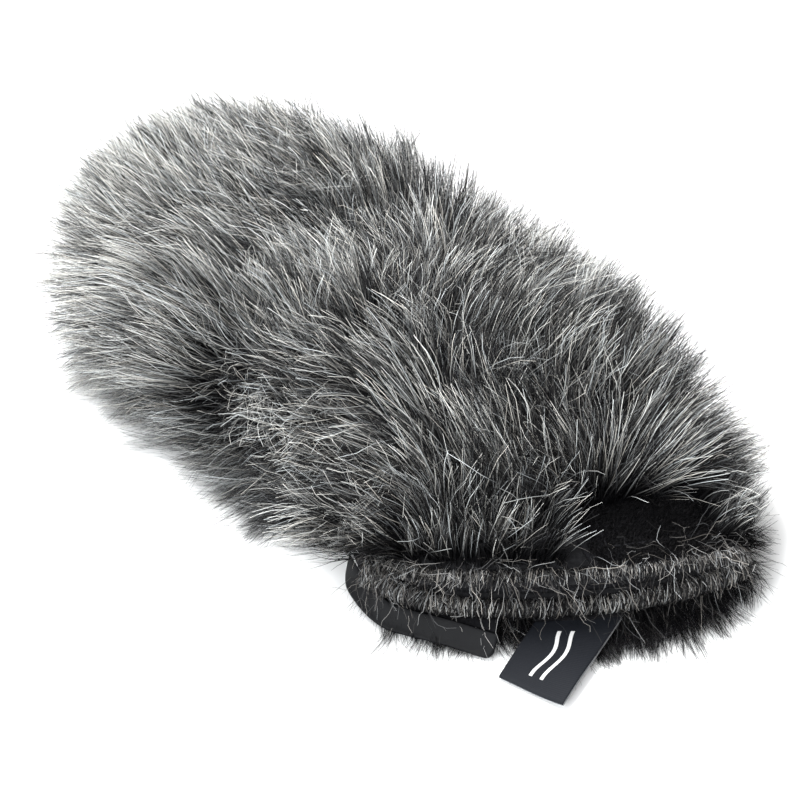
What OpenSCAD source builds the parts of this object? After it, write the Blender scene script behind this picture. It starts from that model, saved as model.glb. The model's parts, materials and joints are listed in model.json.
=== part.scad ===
// Slip-on fur wind cover for a camera microphone, lying empty and slumped on a table.
// Millimetres, +Z up, table at z = 0. The mouth faces -Y and turns aside towards -X, the
// closed nose is at +Y. The origin is under the middle of the bounding box.

/* [Cloth] */
// Length of the cloth along its middle, from mouth to nose
cover_len = 181; // [160:1:190]
// Half the width of the slumped cloth over the body
body_half_w = 39; // [35:1:43]
// Half the width of the cloth at the flattened mouth
mouth_half_w = 47; // [44:1:50]
// How far each side draws in at the waist
waist_in = 2.5; // [0:0.5:5]
// Height of the cloth over the body
body_h = 30; // [26:1:34]
// Height of the cloth at the flattened mouth
mouth_h = 8; // [8:0.5:12]
// Angle by which the mouth end turns aside
bend_deg = 23; // [10:1:25]
// Height of the underside of the cloth above the table
rest_z = 7.5; // [7:0.5:9]
// Thickness of the knitted lining
lining_t = 1.2; // [0.8:0.1:1.4]

/* [Pile] */
// Reach of the pile beyond the cloth at the sides
pile_side = 19; // [12:1:22]
// Reach of the leaning pile above the cloth
pile_top = 17; // [10:1:20]
// Reach of the pile under the cloth before the table flattens it
pile_under = 9.5; // [9:0.5:12]
// Reach of the pile beyond the nose
pile_nose = 20; // [14:1:24]
// Thickness of the backing with its pile trimmed short
backing_t = 2.2; // [1.6:0.1:2.4]

/* [Mouth] */
// How far the middle of the lips stands out from their ends
lip_bulge = 7; // [4:0.5:9]
// How much further the right end of the mouth reaches than its middle
lip_skew = 13.8; // [12:0.2:18]
// How far the lower lip stands out past the upper one
lip_step = 1; // [0:0.5:4]
// Share of the cover's length that opens as the upper lip
lip_share = 0.2; // [0.18:0.01:0.22]
// Angle by which the upper lip lifts
lip_open = 20; // [10:1:25]
// How far the left corner of the mouth curls back
corner_back = 5; // [2:0.5:6]
// Width of the overlocked edges
edge_w = 4.6; // [4:0.2:5]
// Height of the overlocked edges
edge_h = 3.6; // [3:0.2:3.8]

/* [Closure] */
// Depth of the loop patch, measured back from the upper lip
patch_depth = 17; // [14:1:20]
// Thickness of the loop patch
patch_t = 1.5; // [1:0.1:1.8]
// Length of the closure tab along the lip
tab_len = 38; // [30:1:40]
// How far the free part of the tab stands out
tab_depth = 5; // [4:0.5:8]
// Thickness of the tab's webbing
tab_t = 1.2; // [1:0.1:1.3]
// Height of the tab's fold above the table
tab_z = 3.9; // [3.4:0.1:4]
// Downward slope of the tab
tab_slope = 28; // [10:1:28]

/* [Label] */
// Width of the woven label
label_w = 19; // [15:0.5:20]
// Length of the label along its middle, from the fold in the lip to its tip
label_len = 23.5; // [22:0.5:27]
// Thickness of one ply of the label
label_ply = 0.5; // [0.4:0.05:0.6]
// Gap between the label's two plies
label_gap = 0.5; // [0.3:0.1:0.6]
// Direction in which the label points
label_dir = 195; // [185:1:205]

/* [Hidden] */

$fn = 32;
squareness = 0.75;      // exponent of the cross-section, 1 is an ellipse
seam_part = 0.42;       // height of the side seams as a share of the cloth's height
nose_from = 0.69;       // share of the length where the nose starts to round in
nose_power = 2.2;       // bluntness of the nose
nose_last = 0.9995;     // the last ring stops just short of the nose's point
bend_reach = 0.4;       // share of the length over which the mouth end turns aside
lip_fade = 0.45;        // share of the length over which the lip's outline fades
waist_at = 0.47;
waist_span = 0.1;
fluff_reach = 0.15;     // share of the length over which the pile rises from the lips
left_trim = 0.06;       // the pile rises later at the left of the mouth
seam_slit = 1.4;        // half angle left open for a side seam
layer_gap = 0.4;        // gap between the fur's backing and the lining
part_gap = 0.3;         // gap between an edge and its overlock
lip_gap = 0.6;          // gap behind the upper lip
fold_gap = 1.3;         // room in front of the lip for the folds of the tab and label
seam_r = 0.7;
stitch_r = 0.3;
mouth_start = 0.008;    // the lining stops this far behind the lip
patch_from = 84;        // angles round the mouth between which the loop patch lies
patch_to = 36;
trim_zone = [-0.3, -0.05, 0.93, 1];   // across the lip, where the pile is trimmed
edge_from = 20;         // the overlocked edges stop at this angle from the side seams
rings = 28;
cols = 14;
lip_rings = 7;
tube_sides = 8;
spine_steps = 60;
spine_step = cover_len / spine_steps;

cloth_face = [0, 0];    // a layer is its even growth and its share of the pile
pile_face = [0, 1];
lining_face = [-layer_gap, 0];
lining_back = [-layer_gap - lining_t, 0];
patch_face = [backing_t + part_gap + patch_t, 0];
patch_back = [backing_t + part_gap, 0];

// Smooth step from 0 at a to 1 at b
function ramp(a, b, x) = let (t = min(1, max(0, (x - a) / (b - a)))) t * t * (3 - 2 * t);
function bell(x, at, span) = let (t = (x - at) / span) exp(-t * t);
function square_up(x) = sign(x) * pow(abs(x), squareness);

// The cover's middle line in plan, from the mouth (s = 0) to the nose (s = 1)
function heading(s) = bend_deg * (1 - ramp(0, bend_reach, s));
function ahead_of(s) = [sin(heading(s)), cos(heading(s))];
function side_of(s) = [cos(heading(s)), -sin(heading(s))];
spine_pts = [for (i = 0, p = [0, 0]; i <= spine_steps;
                  p = p + spine_step * ahead_of((i + 0.5) / spine_steps), i = i + 1) p];
function spine(s) =
    let (k = s * spine_steps, i = min(spine_steps - 1, max(0, floor(k))))
    spine_pts[i] + (k - i) * (spine_pts[i + 1] - spine_pts[i]);

// The slumped cross-section along the cover
function half_w(s) =
    body_half_w + (mouth_half_w - body_half_w) * (1 - ramp(0, 0.34, s))
    - waist_in * bell(s, waist_at, waist_span);
function cloth_h(s) =
    mouth_h + (body_h - mouth_h) * ramp(-0.05, 0.36, s)
    - waist_in * bell(s, waist_at, waist_span);
function seam_z(s) = rest_z + seam_part * cloth_h(s);
function tip_of(layer) = 1 + (layer[0] + layer[1] * pile_nose) / cover_len;
function last_of(layer) = nose_from + nose_last * (tip_of(layer) - nose_from);
function rounding(s, tip) =
    let (t = min(nose_last, max(0, (s - nose_from) / (tip - nose_from))))
    pow(1 - pow(t, nose_power), 1 / nose_power);

// The pile stands up behind the lips, and behind the loop patch where it is trimmed
function trimmed(u) = ramp(trim_zone[0], trim_zone[1], u) - ramp(trim_zone[2], trim_zone[3], u);
function fluff(s, u, v) =
    let (back = left_trim * ramp(0.3, 0.95, -u)
                + (v > 0 ? trimmed(u) * (patch_depth + 1.5) / cover_len : 0))
    ramp(0, fluff_reach, s - back);
function reach(layer, s, u, v) =
    [for (full = [pile_side, pile_top, pile_under])
        layer[0] + layer[1] * (backing_t + (full - backing_t) * fluff(s, u, v))];

// How far a place on the mouth's edge stands out, from its place across and up
function lip_out(u, v) =
    lip_bulge * (1 - u * u) + lip_skew * u + lip_step * max(0, -v)
    - corner_back * ramp(0.6, 1.05, -u);

// A point of the cover: layer, share of the length, and angle round it.
// The angle is 0 at the right seam, 90 on top, 180 at the left seam and 270 underneath.
function skin(layer, s, a) =
    let (
        u = square_up(cos(a)),
        v = square_up(sin(a)),
        r = reach(layer, s, u, v),
        nose = rounding(s, tip_of(layer)),
        out = lip_out(u, v) * (1 - ramp(0, lip_fade, s)),
        up = v * (v > 0 ? (1 - seam_part) * cloth_h(s) + r[1] : seam_part * cloth_h(s) + r[2]),
        p = spine(s) + u * (half_w(s) + r[0]) * nose * side_of(s) - out * ahead_of(s)
    )
    [p[0], p[1], max(0, seam_z(s) + pow(nose, 0.8) * up)];

// The upper lip turns about a line across the top of the cloth
hinge_left = skin(cloth_face, lip_share, 180 - seam_slit);
hinge_right = skin(cloth_face, lip_share, seam_slit);
hinge_z = skin(cloth_face, lip_share, 90)[2];
lip_lean = tan(lip_open) * 1.5;
lean_from = hinge_z - 4;
function lip_end(layer, a) =
    lip_share - (lip_gap + lip_lean * max(0, skin(layer, lip_share, a)[2] - lean_from)) / cover_len;

// The lower lip's front edge, for the folds of the tab and the label
edge_s = -(part_gap + edge_w / 2) / cover_len;
front_s = -(part_gap + edge_w) / cover_len;
function lip_front(u) =
    let (p = u * mouth_half_w * side_of(0) - (lip_out(u, -1) - front_s * cover_len) * ahead_of(0))
    [p[0], p[1]];
function lip_angle(u) =
    let (d = lip_front(u + 0.02) - lip_front(u - 0.02)) atan2(d[1], d[0]);

// The closure tab folds along a line just in front of the left end of the lower lip
tab_angle = lip_angle(-0.7) - 4;
tab_mid = lip_front(-0.72) + fold_gap * [sin(tab_angle), -cos(tab_angle)];

// The label folds along a line in front of the middle of the lower lip
fold_angle = lip_angle(0);
fold_at = lip_front(0.01) + fold_gap * [sin(fold_angle), -cos(fold_angle)];
fold_z = 2.9;
label_slope = 4;
label_twist = label_dir + 90 - 360 - fold_angle;
label_t = 2 * label_ply + label_gap;

// The bounding box's middle in plan, from the pile's own outline
outline = [for (i = [0:60], a = [0, 20, 160, 180, 200, 270, 340])
              skin(pile_face, last_of(pile_face) * i / 60, a)];
xs = [for (p = outline) p[0]];
ys = [for (p = outline) p[1]];
band_end = skin([backing_t / 2, 0], edge_s, 360 - edge_from);
band_turn = band_end - skin([backing_t / 2, 0], edge_s, 357 - edge_from);
band_low = band_end[1] - edge_w / 2 * abs(band_turn[0]) / norm([band_turn[0], band_turn[1]]);
mid = [(min(xs) + max(xs)) / 2, (min(concat(ys, [band_low])) + max(ys)) / 2];

// The place of the cover's own frame in the part's frame
module placed() { translate([-mid[0], -mid[1], 0]) children(); }

function two(a, b, c, d) = [[a, b, c], [a, c, d]];

// One face of a piece of cloth, ring by ring from its mouth side
function face(layer, s0, s1, a0, a1, n, m) =
    [for (j = [0:n], i = [0:m])
        let (a = a0 + (a1 - a0) * i / m)
        skin(layer, s0 + ((is_undef(s1) ? lip_end(layer, a) : s1) - s0) * sin(90 * j / n), a)];

// A piece of cloth between two layers. Its far end is open, or closed round the nose.
// With s1 left undefined it ends at the upper lip's fold.
module cloth(outer, inner, s0, s1, t1, a0, a1, n, m, at_nose) {
    w = m + 1;
    k = (n + 1) * w;
    points = concat(face(outer, s0, s1, a0, a1, n, m), face(inner, s0, t1, a0, a1, n, m));
    outside = [for (j = [0:n - 1], i = [0:m - 1])
        each two(j * w + i, j * w + i + 1, (j + 1) * w + i + 1, (j + 1) * w + i)];
    inside = [for (j = [0:n - 1], i = [0:m - 1])
        each two(k + j * w + i, k + (j + 1) * w + i, k + (j + 1) * w + i + 1, k + j * w + i + 1)];
    right = [for (j = [0:n - 1]) each two(j * w, (j + 1) * w, k + (j + 1) * w, k + j * w)];
    left = [for (j = [0:n - 1])
        each two((j + 1) * w + m, j * w + m, k + j * w + m, k + (j + 1) * w + m)];
    front = [for (i = [0:m - 1]) each two(i + 1, i, k + i, k + i + 1)];
    back = at_nose
        ? concat([[for (i = [0:m]) n * w + i]], [[for (i = [m:-1:0]) k + n * w + i]],
                 two(k + n * w, n * w, n * w + m, k + n * w + m))
        : [for (i = [0:m - 1])
            each two(n * w + i, n * w + i + 1, k + n * w + i + 1, k + n * w + i)];
    polyhedron(points, concat(outside, inside, right, left, front, back), convexity = 8);
}

// A flattened tube along a path that stays near level: rw across it in plan, rh up
module tube(path, rw, rh) {
    n = len(path) - 1;
    points = [for (i = [0:n], k = [0:tube_sides - 1])
        let (
            d = path[min(n, i + 1)] - path[max(0, i - 1)],
            flat = [d[0], d[1]] / norm([d[0], d[1]]),
            a = 360 * k / tube_sides
        )
        path[i] + [-flat[1] * rw * cos(a), flat[0] * rw * cos(a), rh * sin(a)]];
    wall = [for (i = [0:n - 1], k = [0:tube_sides - 1])
        let (b = i * tube_sides, c = b + tube_sides, l = (k + 1) % tube_sides)
        each two(b + k, c + k, c + l, b + l)];
    ends = [[for (k = [0:tube_sides - 1]) k],
            [for (k = [tube_sides - 1:-1:0]) n * tube_sides + k]];
    polyhedron(points, concat(wall, ends), convexity = 8);
}

// One straight stitch of thread from p to q
module stitch(p, q) {
    d = q - p;
    translate(p) rotate([0, acos(d[2] / norm(d)), atan2(d[1], d[0])])
        cylinder(h = norm(d), r = stitch_r, $fn = 16);
}

// A flat tongue with its outer corners rounded; its straight edge is along X at y = 0
module tongue(length, depth, thick, round_r) {
    linear_extrude(thick, center = true) {
        translate([-length / 2 + round_r, -depth]) square([length - 2 * round_r, depth]);
        translate([-length / 2, -depth + round_r]) square([length, depth - round_r]);
        for (x = [-1, 1])
            translate([x * (length / 2 - round_r), -depth + round_r]) circle(round_r);
    }
}

// The fur panels: backing and pile as one solid, out to the tips of the fibres
module upper_fur_panel() {
    color("dimgray") placed()
        cloth(pile_face, cloth_face, lip_share, last_of(pile_face), last_of(cloth_face),
              seam_slit, 180 - seam_slit, rings, cols, true);
}

module lower_fur_panel() {
    color("dimgray") placed()
        cloth(pile_face, cloth_face, 0, last_of(pile_face), last_of(cloth_face),
              180 + seam_slit, 360 - seam_slit, rings, cols, true);
}

module upper_lip_fur() {
    color("gray") placed()
        cloth(pile_face, cloth_face, 0, undef, undef, seam_slit, 180 - seam_slit,
              lip_rings, cols, false);
}

// The knitted lining behind each panel
module upper_lining() {
    color("black") placed()
        cloth(lining_face, lining_back, lip_share, last_of(lining_face), last_of(lining_back),
              2 * seam_slit, 180 - 2 * seam_slit, rings, cols, true);
}

module lower_lining() {
    color("black") placed()
        cloth(lining_face, lining_back, mouth_start, last_of(lining_face), last_of(lining_back),
              180 + 2 * seam_slit, 360 - 2 * seam_slit, rings, cols, true);
}

module upper_lip_lining() {
    color("black") placed()
        cloth(lining_face, lining_back, mouth_start, undef, undef,
              2 * seam_slit, 180 - 2 * seam_slit, lip_rings, cols, false);
}

// Each side seam runs from the slit beside the upper lip to the start of the nose
function seam_point(s, a) = skin([seam_r, 0], s, a);
seam_end = nose_from + 0.1;
seam_count = 16;

module side_seam(a) {
    color("black") placed()
        tube([for (i = [0:seam_count])
                 seam_point(lip_share + (seam_end - lip_share) * i / seam_count, a)],
             seam_r, seam_r);
}

module left_side_seam() { side_seam(180); }

module right_side_seam() { side_seam(0); }

module nose_seam() {
    start = seam_end + 0.006;
    color("black") placed()
        tube(concat([for (i = [0:seam_count])
                        seam_point(start + (last_of([seam_r, 0]) - start)
                                   * sin(90 * i / seam_count), 180)],
                    [for (i = [seam_count:-1:0])
                        seam_point(start + (last_of([seam_r, 0]) - start)
                                   * sin(90 * i / seam_count), 0)]),
             seam_r, seam_r);
}

// The overlocked edges of the two lips
edge_count = 30;
module overlock(a0, a1) {
    color("darkslategray") placed()
        tube([for (i = [0:edge_count])
                 skin([backing_t / 2, 0], edge_s, a0 + (a1 - a0) * i / edge_count)],
             edge_w / 2, edge_h / 2);
}

module upper_lip_overlock() { overlock(edge_from, 180 - edge_from); }

module lower_lip_overlock() { overlock(180 + edge_from, 360 - edge_from); }

// The loop side of the closure, sewn on the trimmed pile of the upper lip
module loop_patch() {
    color("black") placed()
        cloth(patch_face, patch_back, mouth_start, patch_depth / cover_len,
              patch_depth / cover_len, patch_to, patch_from, 5, 10, false);
}

module loop_patch_stitches() {
    above = [patch_face[0] + stitch_r + 0.05, 0];
    s_low = 0.018;
    s_high = patch_depth / cover_len - 0.008;
    a_step = (patch_from - patch_to - 5) / 12;
    s_step = (s_high - s_low) / 5;
    color("dimgray") placed() {
        for (i = [0:11], s = [s_low, s_high]) {
            a = patch_to + 2.5 + i * a_step;
            stitch(skin(above, s, a + 0.15 * a_step), skin(above, s, a + 0.85 * a_step));
        }
        for (j = [0:4], a = [patch_to + 2, patch_from - 2]) {
            s = s_low + j * s_step;
            stitch(skin(above, s + 0.15 * s_step, a), skin(above, s + 0.85 * s_step, a));
        }
    }
}

// The closure tab: its sewn part under the lower lip, and its free part past the fold
module at_tab(z) {
    placed() translate([tab_mid[0], tab_mid[1], z]) rotate([0, 0, tab_angle]) children();
}

module closure_tab() {
    color("black") at_tab(tab_z) rotate([tab_slope, 0, 0])
        translate([0, -0.5, 0]) tongue(tab_len, tab_depth, tab_t, tab_depth * 0.5);
}

module hook_strip() {
    strip_t = 0.8;
    color("black") at_tab(tab_z) rotate([tab_slope, 0, 0])
        translate([0, -1.2, -tab_t / 2 - strip_t / 2 - 0.02])
            tongue(tab_len - 6, tab_depth - 1.6, strip_t, 1.5);
}

module tab_anchor() {
    sewn_depth = 5.4;
    color("black") at_tab(tab_z)
        translate([-tab_len / 2 + 4, 0.9, -tab_t / 2]) cube([tab_len - 6, sewn_depth, tab_t]);
}

module tab_stitches() {
    count = 12;
    color("dimgray") at_tab(tab_z)
        for (i = [0:count - 1], y = [2, 4.8]) {
            x = -tab_len / 2 + 6 + i * (tab_len - 10) / count;
            stitch([x, y, -tab_t / 2 - stitch_r - 0.05], [x + 1.7, y, -tab_t / 2 - stitch_r - 0.05]);
        }
}

// The label: one ribbon folded back on itself at its tip, both ends sewn into the lip
module at_fold(z) {
    placed() translate([fold_at[0], fold_at[1], z]) rotate([0, 0, fold_angle]) children();
}

// The label's ribbon in the fold's frame, long enough to be cut at the fold
module ribbon() {
    long = label_len + label_w;
    r = label_t / 2;
    rotate([0, 0, label_twist]) rotate([label_slope, 0, 0]) translate([0, -label_len, 0])
        rotate([90, 0, 90]) linear_extrude(label_w, center = true) difference() {
            union() {
                circle(r);
                translate([0, -r]) square([long, label_t]);
            }
            circle(label_gap / 2);
            translate([0, -label_gap / 2]) square([long + 1, label_gap]);
        }
}

module behind_fold(from) {
    translate([-50, from, -10]) cube([100, 60, 30]);
}

module woven_label() {
    color("midnightblue") at_fold(fold_z) difference() {
        ribbon();
        behind_fold(0);
    }
}

// The sewn end of the label, under the lower lip's edge
module label_tail() {
    color("midnightblue") at_fold(fold_z) difference() {
        intersection() {
            ribbon();
            behind_fold(1.2);
        }
        behind_fold(5);
    }
}

module label_stitches() {
    count = 9;
    pitch = 2.2;
    color("dimgray") at_fold(fold_z)
        for (i = [0:count - 1]) {
            x = (i - (count - 1) / 2) * pitch + 2;
            stitch([x - 0.7, 2.6, -label_t / 2 - 0.75], [x + 0.7, 2.6, -label_t / 2 - 0.75]);
        }
}

upper_fur_panel();
lower_fur_panel();
upper_lip_fur();
upper_lining();
lower_lining();
upper_lip_lining();
left_side_seam();
right_side_seam();
nose_seam();
upper_lip_overlock();
lower_lip_overlock();
loop_patch();
loop_patch_stitches();
closure_tab();
tab_anchor();
tab_stitches();
hook_strip();
woven_label();
label_tail();
label_stitches();
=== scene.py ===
# Slip-on fur wind cover for a camera microphone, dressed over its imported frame.
import bpy
import json
import math
import numpy as np
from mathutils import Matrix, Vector, kdtree


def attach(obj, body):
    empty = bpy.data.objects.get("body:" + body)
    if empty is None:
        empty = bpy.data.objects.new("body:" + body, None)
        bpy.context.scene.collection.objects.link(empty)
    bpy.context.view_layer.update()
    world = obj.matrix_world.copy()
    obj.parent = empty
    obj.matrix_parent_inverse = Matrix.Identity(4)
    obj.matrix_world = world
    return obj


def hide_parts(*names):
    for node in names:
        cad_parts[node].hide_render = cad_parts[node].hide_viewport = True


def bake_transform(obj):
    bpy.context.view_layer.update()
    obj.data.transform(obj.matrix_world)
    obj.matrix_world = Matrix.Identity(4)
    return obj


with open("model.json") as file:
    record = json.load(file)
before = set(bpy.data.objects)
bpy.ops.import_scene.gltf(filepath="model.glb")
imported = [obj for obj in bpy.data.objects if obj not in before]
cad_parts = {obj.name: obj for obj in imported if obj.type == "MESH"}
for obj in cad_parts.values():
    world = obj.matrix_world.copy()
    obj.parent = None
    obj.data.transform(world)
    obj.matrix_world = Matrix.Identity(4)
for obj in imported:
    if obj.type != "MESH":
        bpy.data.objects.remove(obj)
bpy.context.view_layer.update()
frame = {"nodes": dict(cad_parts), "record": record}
mm = 0.001
upward = np.array([0, 0, 1.0])
rng = np.random.default_rng(41)
mouth = next(m["pos_m"] for m in frame["record"]["mounts"] if m["name"] == "microphone_sleeve")
print("frame loaded")


def putInScene(name, data, at=None, aim=None):  # pointed from at to aim where they are given
    thing = bpy.data.objects.new(name, data)
    bpy.context.scene.collection.objects.link(thing)
    if aim is not None:
        thing.location = at
        thing.rotation_mode = "QUATERNION"
        thing.rotation_quaternion = (Vector(aim) - Vector(at)).to_track_quat("-Z", "Y")
    return thing


# stand and aim are in millimetres; the camera is that distance away from stand
cameraWork = {"azimuth": -43.88, "elevation": 45.59, "distance": 646, "lens": 104,
              "sensor": 36, "clip": (0.01, 20),
              "stand": (-2.5, -11.1, 23.8), "aim": (-5.7, -14.4, 19.2)}


def makeCamera():
    a, e = math.radians(cameraWork["azimuth"]), math.radians(cameraWork["elevation"])
    away = Vector((math.sin(a) * math.cos(e), -math.cos(a) * math.cos(e), math.sin(e)))
    data = bpy.data.cameras.new("camera")
    data.lens = cameraWork["lens"]
    data.sensor_width = cameraWork["sensor"]
    data.clip_start, data.clip_end = cameraWork["clip"]
    at = (Vector(cameraWork["stand"]) + away * cameraWork["distance"]) * mm
    bpy.context.scene.camera = putInScene("camera", data, at, Vector(cameraWork["aim"]) * mm)


makeCamera()


class Wire:  # one socket of a material; sums and products on it add Math nodes
    def __init__(self, tree, socket=None):
        self.tree, self.socket = tree, socket

    def node(self, kind, settings=None, sockets=None, out=0):
        made = self.tree.nodes.new(kind)
        for key, value in (settings or {}).items():
            if key == "stops":
                elements = made.color_ramp.elements
                elements[0].position, elements[-1].position = value[0][0], value[-1][0]
                for place, colour in value[1:-1]:
                    elements.new(place)
                for element, (place, colour) in zip(elements, value):
                    element.color = (*colour, 1)
            else:
                setattr(made, key, value)
        for key, value in (sockets or {}).items():
            if isinstance(value, Wire):
                self.tree.links.new(value.socket, made.inputs[key])
            else:
                made.inputs[key].default_value = value
        return Wire(self.tree, made.outputs[out] if made.outputs else None)

    def maths(self, operation, a, b=0.0):
        return self.node("ShaderNodeMath", {"operation": operation}, {0: a, 1: b})

    def __add__(self, other):
        return self.maths("ADD", self, other)

    def __radd__(self, other):
        return self.maths("ADD", other, self)

    def __sub__(self, other):
        return self.maths("SUBTRACT", self, other)

    def __rsub__(self, other):
        return self.maths("SUBTRACT", other, self)

    def __mul__(self, other):
        return self.maths("MULTIPLY", self, other)

    def __rmul__(self, other):
        return self.maths("MULTIPLY", other, self)

    def __pow__(self, other):
        return self.maths("POWER", self, other)

    def __rpow__(self, other):
        return self.maths("POWER", other, self)

    def clamp(self):
        return self.maths("MINIMUM", self.maths("MAXIMUM", self, 0.0), 1.0)

    def ripple(self, rate):  # a sine of this value, between 0 and 1
        return self.maths("SINE", self * rate) * 0.5 + 0.5

    def blend(self, low, high):  # a colour between two, by this value
        return self.node("ShaderNodeMix", {"data_type": "RGBA"},
                         {0: self, 6: low, 7: high}, out=2)

    def ramp(self, stops):
        return self.node("ShaderNodeValToRGB", {"stops": stops}, {0: self})

    def bump(self, strength, depth):
        return self.node("ShaderNodeBump", None,
                         {"Height": self, "Strength": strength, "Distance": depth})

    def noise(self, place, scale, detail=2.0):
        return self.node("ShaderNodeTexNoise", None,
                         {"Vector": place, "Scale": scale, "Detail": detail})

    def stripes(self, place, way, sockets):
        return self.node("ShaderNodeTexWave", {"bands_direction": way},
                         dict(sockets, Vector=place), out=1)

    def objectPlace(self):
        return self.node("ShaderNodeTexCoord", out=3)

    def splitMap(self, name):  # a UV map's two values
        place = self.node("ShaderNodeUVMap", {"uv_map": name})
        return tuple(self.node("ShaderNodeSeparateXYZ", None, {0: place}, out=k) for k in (0, 1))


def rgb(r, g, b):
    return (r, g, b, 1.0)


def newMaterial(name):
    material = bpy.data.materials.new(name)
    material.use_nodes = True
    material.node_tree.nodes.clear()
    return material, Wire(material.node_tree)


def finishMaterial(start, sockets):
    shader = start.node("ShaderNodeBsdfPrincipled", None, sockets)
    start.node("ShaderNodeOutputMaterial", None, {0: shader})


stripMap = "OFBake"  # fibres: across is the tone, up is the place from root to tip

# fibre colours: near black at the root, painted shade deep in the pile, rising to a tip colour
# picked by tone; the palest tips are partly painted highlight and partly the fibres' own silver
furLook = {"root": (0.0015, 0.0015, 0.002), "rootEnd": 0.3, "tipFrom": 0.97, "risePower": 1.5,
           "tips": [(0, (0.004, 0.004, 0.005)), (0.3, (0.02, 0.021, 0.023)),
                    (0.5, (0.13, 0.14, 0.15)), (0.7, (0.5, 0.54, 0.56)),
                    (0.9, (0.88, 0.95, 0.98))],
           "warm": (1.0, 0.83, 0.67), "warmShare": 0.75, "warmMix": 9.7,
           "rough": 0.62, "gloss": 0.2, "specular": 0.08}
# serged fibres and stray lip hairs darken towards the root like the pile; on the bands this is
# painted shade under each band, lighter over its top
lipLook = dict(furLook, rootEnd=0.0, tipFrom=0.55, risePower=1.0,
               tips=[(0, (0.004, 0.004, 0.005)), (0.5, (0.02, 0.021, 0.023)),
                     (0.75, (0.13, 0.135, 0.14)), (1, (0.55, 0.58, 0.6))])
darkLook = dict(furLook, tips=[(0, (0.004, 0.004, 0.005)), (0.5, (0.015, 0.016, 0.018)),
                               (0.8, (0.12, 0.125, 0.13)), (1, (0.7, 0.74, 0.76))])
loopLook = dict(furLook, root=(0.003, 0.003, 0.0035), rootEnd=0.0, tipFrom=1.0,
                tips=[(0, (0.006, 0.006, 0.007)), (0.8, (0.012, 0.012, 0.014)),
                      (1, (0.035, 0.035, 0.04))], gloss=0.0)


def fibreMaterial(name, look):
    material, start = newMaterial(name)
    tone, along = start.splitMap(stripMap)
    tip = tone.ramp(look["tips"])
    # a warm tint mixed into the tips by tone: painted backlight glow
    backlitShare = start.maths("FRACT", tone * look["warmMix"])
    backlitTip = start.node("ShaderNodeMix", {"data_type": "RGBA", "blend_type": "MULTIPLY"},
                         {0: 1.0, 6: tip, 7: rgb(*look["warm"])}, out=2)
    tip = (backlitShare * look["warmShare"]).blend(tip, backlitTip)
    # darker towards each fibre's root: painted shade deep in the pile, paler at the tip as partly
    # painted highlight
    rise = ((along - look["rootEnd"]) * (1 / (look["tipFrom"] - look["rootEnd"]))).clamp()
    colour = (rise ** look["risePower"]).blend(rgb(*look["root"]), tip)
    finishMaterial(start, {"Base Color": colour,
                           "Roughness": look["rough"] - along * look["gloss"],
                           "Specular IOR Level": look["specular"]})
    return material


# near-black backing cloth, dark also to stand for the painted shade deep in the pile where it
# shows between fibres
backingLook = {"dark": (0.003, 0.003, 0.0035), "light": (0.02, 0.02, 0.022), "scale": 900.0,
               "bump": 0.8, "depth": 0.0004, "rough": 0.95, "shine": 0.1, "specular": 0.12,
               "knit": False, "rows": 0.5, "rises": 0.4, "wobble": 1.2}
liningLook = dict(backingLook, dark=(0.004, 0.004, 0.005), light=(0.03, 0.03, 0.034),
                  scale=700.0, bump=0.9, rough=0.9, knit=True)
loopTapeLook = dict(backingLook, dark=(0.003, 0.003, 0.004), light=(0.012, 0.012, 0.014),
                    scale=1500.0)
hookLook = dict(backingLook, dark=(0.008, 0.008, 0.009), light=(0.03, 0.03, 0.033),
                scale=1200.0, bump=0.9, rough=0.6, knit=True)


def clothMaterial(name, look):
    material, start = newMaterial(name)
    place, scale = start.objectPlace(), look["scale"]
    speckle = start.noise(place, scale, 3.0)
    height = speckle
    if look["knit"]:
        wobble = {"Distortion": look["wobble"], "Detail Scale": 2.0}
        height = (start.stripes(place, "X", dict(wobble, Scale=scale * look["rows"]))
                  * start.stripes(place, "Y", dict(wobble, Scale=scale * look["rises"])))
    shade = (height * 0.7 + speckle * 0.4).clamp()
    finishMaterial(start, {"Base Color": shade.blend(rgb(*look["dark"]), rgb(*look["light"])),
                           "Roughness": look["rough"] - speckle * look["shine"],
                           "Normal": height.bump(look["bump"], look["depth"]),
                           "Specular IOR Level": look["specular"]})
    return material


threadLook = {"dark": (0.012, 0.012, 0.014), "light": (0.05, 0.052, 0.058), "twist": 900.0,
              "bump": 0.5, "depth": 0.0001, "rough": 0.7, "shine": 0.2}


def threadMaterial(look=threadLook):
    material, start = newMaterial("sewing thread")
    twist = start.stripes(start.objectPlace(), "DIAGONAL", {"Scale": look["twist"]})
    finishMaterial(start, {"Base Color": twist.blend(rgb(*look["dark"]), rgb(*look["light"])),
                           "Roughness": look["rough"] - twist * look["shine"],
                           "Normal": twist.bump(look["bump"], look["depth"])})
    return material


satinLook = {"dark": (0.002, 0.002, 0.0025), "light": (0.006, 0.0065, 0.008), "ribs": 330.0,
             "picks": 900.0, "clouds": 120.0, "bump": 0.25, "depth": 0.00012, "rough": 0.6,
             "shine": 0.15, "specular": 0.14}


def satinMaterial(look=satinLook):  # smooth tape: fine ribs along it, a faint blue bloom
    material, start = newMaterial("satin tape")
    across, along = start.splitMap("tape")
    ribs, picks = along.ripple(look["ribs"]), across.ripple(look["picks"])
    cloud = start.noise(start.objectPlace(), look["clouds"], 4.0)
    shade = (cloud * 0.8 + picks * 0.15).clamp()
    finishMaterial(start, {"Base Color": shade.blend(rgb(*look["dark"]), rgb(*look["light"])),
                           "Roughness": look["rough"] - cloud * look["shine"],
                           "Normal": (ribs * 0.6 + picks * 0.4).bump(look["bump"], look["depth"]),
                           "Specular IOR Level": look["specular"]})
    return material


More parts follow.
